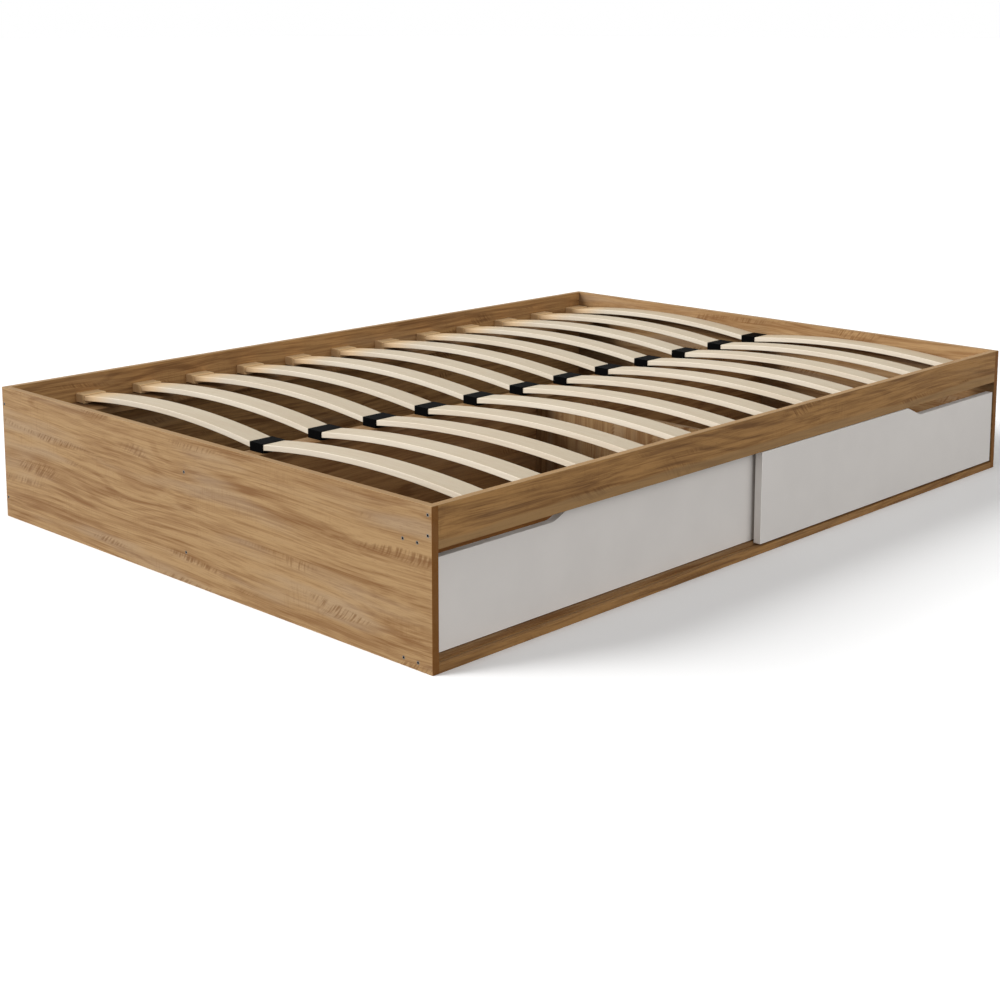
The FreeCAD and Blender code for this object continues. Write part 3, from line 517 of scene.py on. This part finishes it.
def build_slat_wood():
    """Laminated birch along Y: fibres, one tone for each slat, and plies on the sides."""
    tree, given, result = new_group(
        "Slat wood",
        {"Vector": VECTOR, "Cream": COLOUR, "Side": COLOUR, "Tan": COLOUR, "Arc centre": VECTOR,
         "Pitch": NUMBER, "Half width": NUMBER},
        {"Color": COLOUR, "Height": NUMBER, "Roughness": NUMBER})
    pattern_jump = (3.0, 9.0, 5.0)
    ply_pitch = 0.0043

    place = given["Vector"]
    along = split_vector(tree, place)["X"]
    which = calculate(tree, "ROUND", calculate(tree, "DIVIDE", along, given["Pitch"]))
    chance = add_node(tree, "ShaderNodeTexWhiteNoise", {"W": which}, noise_dimensions="1D").outputs
    shifted = calculate_vector(tree, "MULTIPLY_ADD", chance["Color"], pattern_jump, place)
    fibres = draw_pattern(tree, shifted, "birch fibres")
    figure = draw_pattern(tree, shifted, "birch figure")
    away = calculate_vector(tree, "SUBTRACT", place, given["Arc centre"])
    away = calculate_vector(tree, "MULTIPLY", away, (0.0, 1.0, 1.0))
    radius = add_node(tree, "ShaderNodeVectorMath", {0: away}, operation="LENGTH").outputs["Value"]
    plies = calculate(tree, "SINE", calculate(tree, "MULTIPLY", radius, TURN / ply_pitch))
    plies = rescale(tree, plies, 0.55, 1.0)
    tone = weighted_sum(tree, (fibres, 0.16), (figure, 0.18), (plies, 0.05),
                        (chance["Value"], 0.08), clamp=True)
    middle = calculate(tree, "MULTIPLY", which, given["Pitch"])
    aside = calculate(tree, "ABSOLUTE", calculate(tree, "SUBTRACT", along, middle))
    beyond = calculate(tree, "GREATER_THAN", aside, given["Half width"])
    cream = blend_colours(tree, beyond, given["Cream"], given["Side"])
    tree.links.new(blend_colours(tree, tone, cream, given["Tan"]), result["Color"])
    tree.links.new(calculate(tree, "MULTIPLY", fibres, -1.0), result["Height"])
    tree.links.new(weighted_sum(tree, (fibres, 0.12), start=0.42), result["Roughness"])
    return tree


GROUP_BUILDERS = {
    "Oak foil": build_oak_foil,
    "Golden seam": build_golden_seam,
    "Edge band": build_edge_band,
    "Moulded surface": build_moulding,
    "Slat wood": build_slat_wood,
}


def opaque(colour):
    """A colour property with full alpha."""
    return (*colour, 1.0)


class Coat:
    """A material in the making: its nodes, its shader and its pattern coordinates."""

    def __init__(self, name, surface, turn=ZERO, shift=ZERO):
        self.surface = SURFACES[surface]
        self.material = bpy.data.materials.new(name)
        self.material.use_nodes = True
        self.tree = self.material.node_tree
        self.shader = self.tree.nodes["Principled BSDF"]
        self.shader.inputs["Specular IOR Level"].default_value = self.surface.gloss
        self.shader.inputs["Roughness"].default_value = self.surface.roughness
        self.place = self.tree.nodes.new("ShaderNodeTexCoord").outputs["Object"]
        self.turned = add_node(self.tree, "ShaderNodeMapping", {
            "Vector": self.place, "Rotation": turn, "Location": shift}).outputs[0]

    def use_group(self, name, values):
        """Outputs of a node group; it is built the first time that it is asked for."""
        group = bpy.data.node_groups.get(name) or GROUP_BUILDERS[name]()
        return add_node(self.tree, "ShaderNodeGroup", values, node_tree=group).outputs

    def moulded(self, colour):
        """Outputs of the moulded texture in one colour."""
        return self.use_group("Moulded surface", {
            "Vector": self.turned, "Color": opaque(colour),
            "Variation": self.surface.variation, "Grain": self.surface.grain})

    def outside(self, centre, half_size, axes):
        """Mask of what lies outside a box, along the axes that are 1."""
        return self.use_group("Edge band", {
            "Vector": self.place, "Centre": centre, "Half size": half_size, "Axes": axes})["Mask"]

    def connect(self, colour, roughness=None, height=None):
        """Lead a pattern's colour, roughness and relief to the shader."""
        leads = {"Base Color": colour, "Roughness": roughness}
        if height is not None:
            leads["Normal"] = add_node(self.tree, "ShaderNodeBump", {
                "Height": height, "Strength": 1.0, "Distance": self.surface.relief}).outputs[0]
        for socket, lead in leads.items():
            if lead is not None:
                self.tree.links.new(lead, self.shader.inputs[socket])


def dress(node_name, material):
    """Give a CAD node its finish in every slot."""
    slots = NODES[node_name].material_slots
    if not slots:
        raise RuntimeError(f"{node_name} has no material slot")
    for slot in slots:
        slot.material = material


def round_edges(node_name, width, segments=2):
    """Round the sharp edges of a CAD node with modifiers, and leave its own mesh as it is."""
    piece = NODES[node_name]
    weld = piece.modifiers.new("Join", "WELD")
    weld.merge_threshold = JOIN_DISTANCE
    flatten = piece.modifiers.new("Flat faces", "DECIMATE")
    flatten.decimate_type = "DISSOLVE"
    flatten.angle_limit = FLAT_ANGLE
    bevel = piece.modifiers.new("Rounded edges", "BEVEL")
    bevel.width = width
    bevel.segments = segments
    bevel.limit_method = "ANGLE"
    bevel.angle_limit = SHARP_ANGLE
    bevel.use_clamp_overlap = False
    bevel.loop_slide = False
    normals = piece.modifiers.new("Shading", "WEIGHTED_NORMAL")
    normals.weight = 100


def oak_material(node_name, finish, sizes):
    """Oak foil for one board, with its grain, its edge bands, the rail's seam and a painted
    highlight on top edges.
    """
    board = BOARDS[node_name]
    coat = Coat(f"oak_{node_name}", "oak", GRAIN_TURNS[board.grain], board.cut)
    light, honey, brown, dark, pale = (Vector(colour) for colour in (
        finish.oak_light, finish.oak_honey, finish.oak_brown, finish.oak_dark, finish.oak_pale))
    light = light.lerp(honey, board.honey)
    foil = coat.use_group("Oak foil", {
        "Vector": coat.turned, "Light": opaque(light.lerp(brown, board.depth)),
        "Brown": opaque(brown.lerp(dark, board.depth / 2)), "Dark": opaque(dark),
        "Pale": opaque(pale.lerp(brown, board.depth)), "Limed": board.limed})
    colour = foil["Color"]
    low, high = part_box(node_name)
    if node_name in END_PANELS:
        margin = Vector((0, sizes.band_thickness, 0))
        band = coat.outside((low + high) / 2, (high - low) / 2 - margin, (0, 1, 0))
        colour = cover(coat.tree, colour, band, BAND_COVER, opaque(finish.oak_band))
    if node_name == "front_rail":
        seam = coat.use_group("Golden seam", {"Vector": coat.place, "Height": low.z + SEAM_HEIGHT})
        colour = cover(coat.tree, colour, seam["Zone"], ZONE_COVER, opaque(finish.oak_light))
        colour = cover(coat.tree, colour, seam["Vein"], VEIN_COVER, opaque(finish.oak_dark))
    # Painted highlight: the top edge is made lighter where light falls from above
    if node_name in TOP_HIGHLIGHT_BOARDS:
        top_highlight = coat.outside(ZERO, (0, 0, high.z - sizes.band_thickness), (0, 0, 1))
        colour = cover(coat.tree, colour, top_highlight, TOP_HIGHLIGHT_COVER, opaque(finish.oak_light))
    coat.connect(colour, foil["Roughness"], foil["Height"])
    return coat.material


class BED_OT_oak_boards(bpy.types.Operator):
    """Oak foil and crisp rounded edges on every board of the box"""

    bl_idname = "storage_bed.oak_boards"
    bl_label = "Oak boards"

    def execute(self, context):
        finish, sizes = context.scene.bed_finish, context.scene.bed_sizes
        for name in BOARDS:
            dress(name, oak_material(name, finish, sizes))
            round_edges(name, sizes.board_rounding)
        return {"FINISHED"}


class BED_OT_doors(bpy.types.Operator):
    """Pale melamine on the sliding doors, with a light line on their edges that is partly edge band
    and partly painted highlight
    """

    bl_idname = "storage_bed.doors"
    bl_label = "Sliding doors"

    def execute(self, context):
        finish, sizes = context.scene.bed_finish, context.scene.bed_sizes
        margin = Vector((1, 0, 1)) * DOOR_HIGHLIGHT * sizes.band_thickness
        for name in DOORS:
            low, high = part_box(name)
            coat = Coat(f"melamine_{name}", "melamine")
            board = coat.moulded(finish.door_grey)
            # Painted highlight, partly edge band, along the door's edges
            line = coat.outside((low + high) / 2, (high - low) / 2 - margin, (1, 0, 1))
            colour = blend_colours(coat.tree, line, board["Color"], opaque(finish.door_edge_highlight))
            coat.connect(colour, height=board["Height"])
            dress(name, coat.material)
            round_edges(name, sizes.door_rounding)
        return {"FINISHED"}


class BED_OT_slats(bpy.types.Operator):
    """Laminated birch and soft edges on the sprung slats"""

    bl_idname = "storage_bed.slats"
    bl_label = "Sprung slats"

    def execute(self, context):
        finish, sizes = context.scene.bed_finish, context.scene.bed_sizes
        for row, stem in SLAT_ROWS.items():
            names = sorted(name for name in NODES if name.startswith(stem))
            (low, high), (next_low, _) = (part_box(name) for name in names[:2])
            middle = (low + high) / 2
            half_span = (high.y - low.y) / 2
            rise = high.z - low.z - sizes.slat_thickness
            radius = (half_span ** 2 + rise ** 2) / (2 * rise)
            coat = Coat(f"birch_{row}_slats", "birch", shift=(-middle.x, 0, 0))
            wood = coat.use_group("Slat wood", {
                "Vector": coat.turned, "Cream": opaque(finish.slat_cream),
                "Side": opaque(finish.slat_side), "Tan": opaque(finish.slat_tan),
                "Arc centre": (0.0, middle.y, high.z - sizes.slat_thickness - radius),
                "Pitch": next_low.x - low.x,
                "Half width": (high.x - low.x - sizes.slat_rounding) / 2})
            colour = wood["Color"]
            if row == "back":
                # Painted shade, tinted by light bounced off the oak: a back slat turns to the caps'
                # colour towards the back panel
                depth = split_vector(coat.tree, coat.place)["Y"]
                warm = rescale(coat.tree, depth, high.y - PAINTED_SHADE_START, high.y - PAINTED_SHADE_END,
                               0.0, PAINTED_SHADE_SHARE)
                colour = blend_colours(coat.tree, warm, colour, opaque(finish.cap_tan))
            coat.connect(colour, wood["Roughness"], wood["Height"])
            for name in names:
                dress(name, coat.material)
                round_edges(name, sizes.slat_rounding, segments=3)
        return {"FINISHED"}


def plastic_material(name, surface, colour):
    """Moulded plastic with a fine spark-eroded texture."""
    coat = Coat(name, surface)
    plastic = coat.moulded(colour)
    coat.connect(plastic["Color"], height=plastic["Height"])
    return coat.material


class BED_OT_holders(bpy.types.Operator):
    """Black double holders on the beam and tan end caps on the ledges"""

    bl_idname = "storage_bed.holders"
    bl_label = "Slat holders and caps"

    def execute(self, context):
        finish, sizes = context.scene.bed_finish, context.scene.bed_sizes
        black = plastic_material("holder_black", "holder", finish.holder_black)
        tan = plastic_material("cap_tan", "cap", finish.cap_tan)
        plastics = {"centre_holders": black, "front_slat_caps": tan, "back_slat_caps": tan}
        for name, material in plastics.items():
            dress(name, material)
            round_edges(name, sizes.moulding_rounding)
        return {"FINISHED"}


class BED_OT_door_gear(bpy.types.Operator):
    """Plastic of the door tracks and of the guides that run in them"""

    bl_idname = "storage_bed.door_gear"
    bl_label = "Door tracks and guides"

    def execute(self, context):
        finish = context.scene.bed_finish
        plastics = {
            "_track": plastic_material("track_brown", "track", finish.track_brown),
            "_guides": plastic_material("guide_black", "guide", finish.holder_black),
        }
        for ending, material in plastics.items():
            for name in NODES:
                if name.endswith(ending):
                    dress(name, material)
        return {"FINISHED"}


class BED_OT_storage_floor(bpy.types.Operator):
    """Printed hardboard on the floor of the storage space"""

    bl_idname = "storage_bed.storage_floor"
    bl_label = "Storage floor"

    # Where in the print each sheet lies
    cuts = {"floor_sheet_left": (34.0, 1.3, 0.4), "floor_sheet_right": (37.7, 1.3, 0.4)}
    limed = 0.3

    def execute(self, context):
        finish = context.scene.bed_finish
        for name, cut in self.cuts.items():
            coat = Coat(f"hardboard_{name}", "hardboard", shift=cut)
            foil = coat.use_group("Oak foil", {
                "Vector": coat.turned, "Light": opaque(finish.sheet_light),
                "Brown": opaque(finish.sheet_dark), "Dark": opaque(finish.sheet_dark),
                "Pale": opaque(finish.sheet_light), "Limed": self.limed})
            coat.connect(foil["Color"], foil["Roughness"], foil["Height"])
            dress(name, coat.material)
        return {"FINISHED"}


class BED_OT_fasteners(bpy.types.Operator):
    """Zinc screws with shaded sockets, and the plinth's beech dowels"""

    bl_idname = "storage_bed.fasteners"
    bl_label = "Screws and dowels"

    def execute(self, context):
        finish = context.scene.bed_finish
        for name, outward in SCREW_FACES.items():
            dress(name, self.zinc(name, outward, finish))
        dress("plinth_dowels", self.beech(finish))
        return {"FINISHED"}

    def zinc(self, name, outward, finish):
        """Brushed zinc, with painted shade in black below the screws' heads."""
        coat = Coat(f"zinc_{name}", "zinc")
        tree = coat.tree
        brushed = draw_pattern(tree, coat.turned, "zinc brushed")
        clouds = draw_pattern(tree, coat.turned, "zinc clouds")
        tone = weighted_sum(tree, (brushed, 0.2), (clouds, 0.35))
        zinc = blend_colours(tree, tone, opaque(finish.zinc_grey), opaque(finish.zinc_light))
        reach = add_node(tree, "ShaderNodeVectorMath", {0: coat.place, 1: outward},
                         operation="DOT_PRODUCT").outputs["Value"]
        face = max(corner.dot(Vector(outward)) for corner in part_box(name))
        inside = calculate(tree, "LESS_THAN", reach, face - HEAD_DEPTH)
        colour = blend_colours(tree, inside, zinc, opaque(finish.socket_black))
        metal = weighted_sum(tree, (inside, -HEAD_METAL), start=HEAD_METAL)
        tree.links.new(metal, coat.shader.inputs["Metallic"])
        coat.connect(colour, weighted_sum(tree, (brushed, 0.15), start=0.32), brushed)
        return coat.material

    def beech(self, finish):
        """Plain beech along X."""
        coat = Coat("beech_dowels", "beech")
        fibres = draw_pattern(coat.tree, coat.turned, "beech fibres")
        colour = blend_colours(coat.tree, fibres, opaque(finish.slat_cream),
                               opaque(finish.slat_tan))
        coat.connect(colour, weighted_sum(coat.tree, (fibres, 0.1), start=0.55), fibres)
        return coat.material


class BED_OT_studio(bpy.types.Operator):
    """White floor and sky, three soft lamps, and the camera"""

    bl_idname = "storage_bed.studio"
    bl_label = "Studio"

    # Camera of the photograph, with part of its lens shift turned into tilt
    camera_place = (-3.0054, -2.818, 1.1385)
    camera_heading = math.radians(45.931)
    camera_pitch = math.radians(9.085)
    camera_lens = 61.346
    camera_sensor = 36
    camera_shift = -0.2
    camera_reach = 1000
    # Where each lamp shines from
    lamps = {
        "side": (-0.78, 0.47, 0.52),
        "back": (-0.45, 0.72, 0.23),
        "front": (0.05, -0.95, 0.22),
    }

    def execute(self, context):
        studio = context.scene.bed_studio
        for item in list(bpy.data.objects):
            if item.type in {"LIGHT", "CAMERA"}:
                bpy.data.objects.remove(item)
        self.lay_floor(context, studio)
        self.light(context, studio)
        self.aim_camera(context)
        context.scene.view_settings.view_transform = "Standard"
        return {"FINISHED"}

    def seen_directly(self, tree):
        """1 for rays from the camera and for those that a mirror or glass sends on."""
        rays = tree.nodes.new("ShaderNodeLightPath").outputs
        seen = calculate(tree, "MAXIMUM", rays["Is Camera Ray"], rays["Is Glossy Ray"])
        return calculate(tree, "MAXIMUM", seen, rays["Is Transmission Ray"])

    def lay_floor(self, context, studio):
        """A large plain floor: white to the camera, and much darker to the object."""
        shape = bmesh.new()
        bmesh.ops.create_grid(shape, x_segments=1, y_segments=1, size=studio.floor_reach / 2)
        mesh = bpy.data.meshes.new("studio_floor")
        shape.to_mesh(mesh)
        shape.free()
        floor = bpy.data.objects.new("studio_floor", mesh)
        context.scene.collection.objects.link(floor)
        coat = Coat("studio_floor", "studio floor")
        white = opaque((1.0, 1.0, 1.0))
        coat.connect(blend_colours(coat.tree, self.seen_directly(coat.tree),
                                   opaque(studio.floor_bounce), white))
        mesh.materials.append(coat.material)

    def light(self, context, studio):
        """Even white sky, two soft lamps from behind the left end and a low one in front."""
        world = bpy.data.worlds.new("studio_sky")
        world.use_nodes = True
        tree = world.node_tree
        background = tree.nodes["Background"]
        background.inputs["Color"].default_value = (1, 1, 1, 1)
        strength = calculate(tree, "MAXIMUM", self.seen_directly(tree), studio.sky_level)
        tree.links.new(strength, background.inputs["Strength"])
        context.scene.world = world
        for name, direction in self.lamps.items():
            lamp = bpy.data.lights.new(f"{name}_lamp", "SUN")
            lamp.energy = getattr(studio, f"{name}_lamp")
            lamp.angle = getattr(studio, f"{name}_spread")
            holder = bpy.data.objects.new(f"{name}_lamp", lamp)
            holder.rotation_mode = "QUATERNION"
            holder.rotation_quaternion = Vector(direction).to_track_quat("Z", "Y")
            context.scene.collection.objects.link(holder)

    def aim_camera(self, context):
        """The camera that sees the bed as the photograph shows it."""
        data = bpy.data.cameras.new("photo_camera")
        data.lens = self.camera_lens
        data.sensor_width = self.camera_sensor
        data.shift_y = self.camera_shift
        data.clip_end = self.camera_reach
        camera = bpy.data.objects.new("photo_camera", data)
        camera.matrix_world = (
            Matrix.Translation(self.camera_place)
            @ Matrix.Rotation(-self.camera_heading, 4, "Z")
            @ Matrix.Rotation(math.pi / 2 - self.camera_pitch, 4, "X"))
        context.scene.collection.objects.link(camera)
        context.scene.camera = camera


STEPS = (
    BED_OT_oak_boards,
    BED_OT_doors,
    BED_OT_slats,
    BED_OT_holders,
    BED_OT_door_gear,
    BED_OT_storage_floor,
    BED_OT_fasteners,
    BED_OT_studio,
)


class BED_PT_sidebar(bpy.types.Panel):
    """The bed's sizes, colours and steps"""

    bl_label = "Storage bed"
    bl_idname = "BED_PT_sidebar"
    bl_space_type = "VIEW_3D"
    bl_region_type = "UI"
    bl_category = "Storage bed"

    def draw(self, context):
        scene = context.scene
        for settings in (scene.bed_finish, scene.bed_sizes, scene.bed_studio):
            box = self.layout.box()
            for name in settings.bl_rna.properties.keys():
                if name not in {"rna_type", "name"}:
                    box.prop(settings, name)
        for step in STEPS:
            self.layout.operator(step.bl_idname)


SETTINGS = {"bed_finish": BedFinish, "bed_sizes": BedSizes, "bed_studio": BedStudio}


def register():
    for kind in (*SETTINGS.values(), *STEPS, BED_PT_sidebar):
        bpy.utils.register_class(kind)
    for name, kind in SETTINGS.items():
        setattr(bpy.types.Scene, name, bpy.props.PointerProperty(type=kind))


def unregister():
    for name in SETTINGS:
        delattr(bpy.types.Scene, name)
    for kind in (BED_PT_sidebar, *STEPS, *SETTINGS.values()):
        bpy.utils.unregister_class(kind)


def main():
    register()
    for step in STEPS:
        family, name = step.bl_idname.split(".")
        getattr(getattr(bpy.ops, family), name)()


if __name__ == "__main__":
    main()
